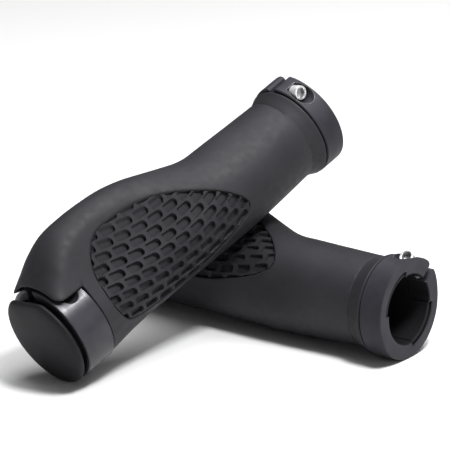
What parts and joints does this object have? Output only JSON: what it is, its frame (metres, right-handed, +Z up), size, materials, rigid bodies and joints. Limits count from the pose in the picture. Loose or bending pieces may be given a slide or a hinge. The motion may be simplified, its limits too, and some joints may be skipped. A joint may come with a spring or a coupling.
{
  "type": "bicycle handlebar grip pair",
  "caption": "Pair of ergonomic lock-on handlebar grips: rubber palm wings with dimpled texture panels, split clamp rings with socket bolts, and domed end caps.",
  "frame": {"origin": "centre of the footprint box of the pair, on the surface that they lie on", "axes": "+X along the left grip towards its open inner end, +Z up"},
  "size_m": [0.1244, 0.1252, 0.0772],
  "materials": {
    "grip_rubber": "matt moulded rubber",
    "insert_rubber": "matt soft rubber with dimples",
    "core_plastic": "moulded glass-filled plastic",
    "cap_plastic": "satin moulded plastic",
    "clamp_alloy": "black anodised, satin",
    "bolt_steel": "bright zinc plated"
  },
  "bodies": {
    "left_grip": {"left_rubber_sleeve": "grip_rubber", "left_front_texture_insert": "insert_rubber", "left_back_texture_insert": "insert_rubber", "left_core_tube": "core_plastic"},
    "left_inner_clamp": {"left_inner_clamp": "clamp_alloy"},
    "left_inner_bolt": {"left_inner_clamp_bolt": "bolt_steel"},
    "left_outer_clamp": {"left_outer_clamp": "clamp_alloy"},
    "left_outer_bolt": {"left_outer_clamp_bolt": "bolt_steel"},
    "left_cap": {"left_end_cap": "cap_plastic"},
    "right_grip": {"right_rubber_sleeve": "grip_rubber", "right_front_texture_insert": "insert_rubber", "right_back_texture_insert": "insert_rubber", "right_core_tube": "core_plastic"},
    "right_inner_clamp": {"right_inner_clamp": "clamp_alloy"},
    "right_inner_bolt": {"right_inner_clamp_bolt": "bolt_steel"},
    "right_outer_clamp": {"right_outer_clamp": "clamp_alloy"},
    "right_outer_bolt": {"right_outer_clamp_bolt": "bolt_steel"},
    "right_cap": {"right_end_cap": "cap_plastic"}
  },
  "joints": [
    {"name": "right_grip_lift", "type": "slide", "parent": "left_grip", "child": "right_grip", "axis": [0, 0, 1], "range_m": [0, 0.08]},
    {"name": "left_inner_clamp_slide", "type": "slide", "parent": "left_grip", "child": "left_inner_clamp", "axis": [1, 0, 0], "range_m": [0, 0.01]},
    {"name": "left_inner_bolt_turn", "type": "hinge", "parent": "left_inner_clamp", "child": "left_inner_bolt", "pos_m": [0.05825, 0.03569, 0.02456], "axis": [0, -0.6428, 0.766], "range_deg": [0, 360]},
    {"name": "left_outer_clamp_slide", "type": "slide", "parent": "left_grip", "child": "left_outer_clamp", "axis": [-1, 0, 0], "range_m": [0, 0.012]},
    {"name": "left_outer_bolt_turn", "type": "hinge", "parent": "left_outer_clamp", "child": "left_outer_bolt", "pos_m": [-0.0514, 0.03569, 0.02456], "axis": [0, -0.6428, 0.766], "range_deg": [0, 360]},
    {"name": "left_cap_slide", "type": "slide", "parent": "left_outer_clamp", "child": "left_cap", "axis": [-1, 0, 0], "range_m": [0, 0.024]},
    {"name": "right_inner_clamp_slide", "type": "slide", "parent": "right_grip", "child": "right_inner_clamp", "axis": [0.1445, 0.9125, 0.3827], "range_m": [0, 0.01]},
    {"name": "right_inner_bolt_turn", "type": "hinge", "parent": "right_inner_clamp", "child": "right_inner_bolt", "pos_m": [-0.00207, 0.04779, 0.07209], "axis": [0.9662, -0.2136, 0.1445], "range_deg": [0, 360]},
    {"name": "right_outer_clamp_slide", "type": "slide", "parent": "right_grip", "child": "right_outer_clamp", "axis": [-0.1445, -0.9125, -0.3827], "range_m": [0, 0.012]},
    {"name": "right_outer_bolt_turn", "type": "hinge", "parent": "right_outer_clamp", "child": "right_outer_bolt", "pos_m": [-0.01792, -0.05227, 0.03013], "axis": [0.9662, -0.2136, 0.1445], "range_deg": [0, 360]},
    {"name": "right_cap_slide", "type": "slide", "parent": "right_outer_clamp", "child": "right_cap", "axis": [-0.1445, -0.9125, -0.3827], "range_m": [0, 0.024]}
  ]
}
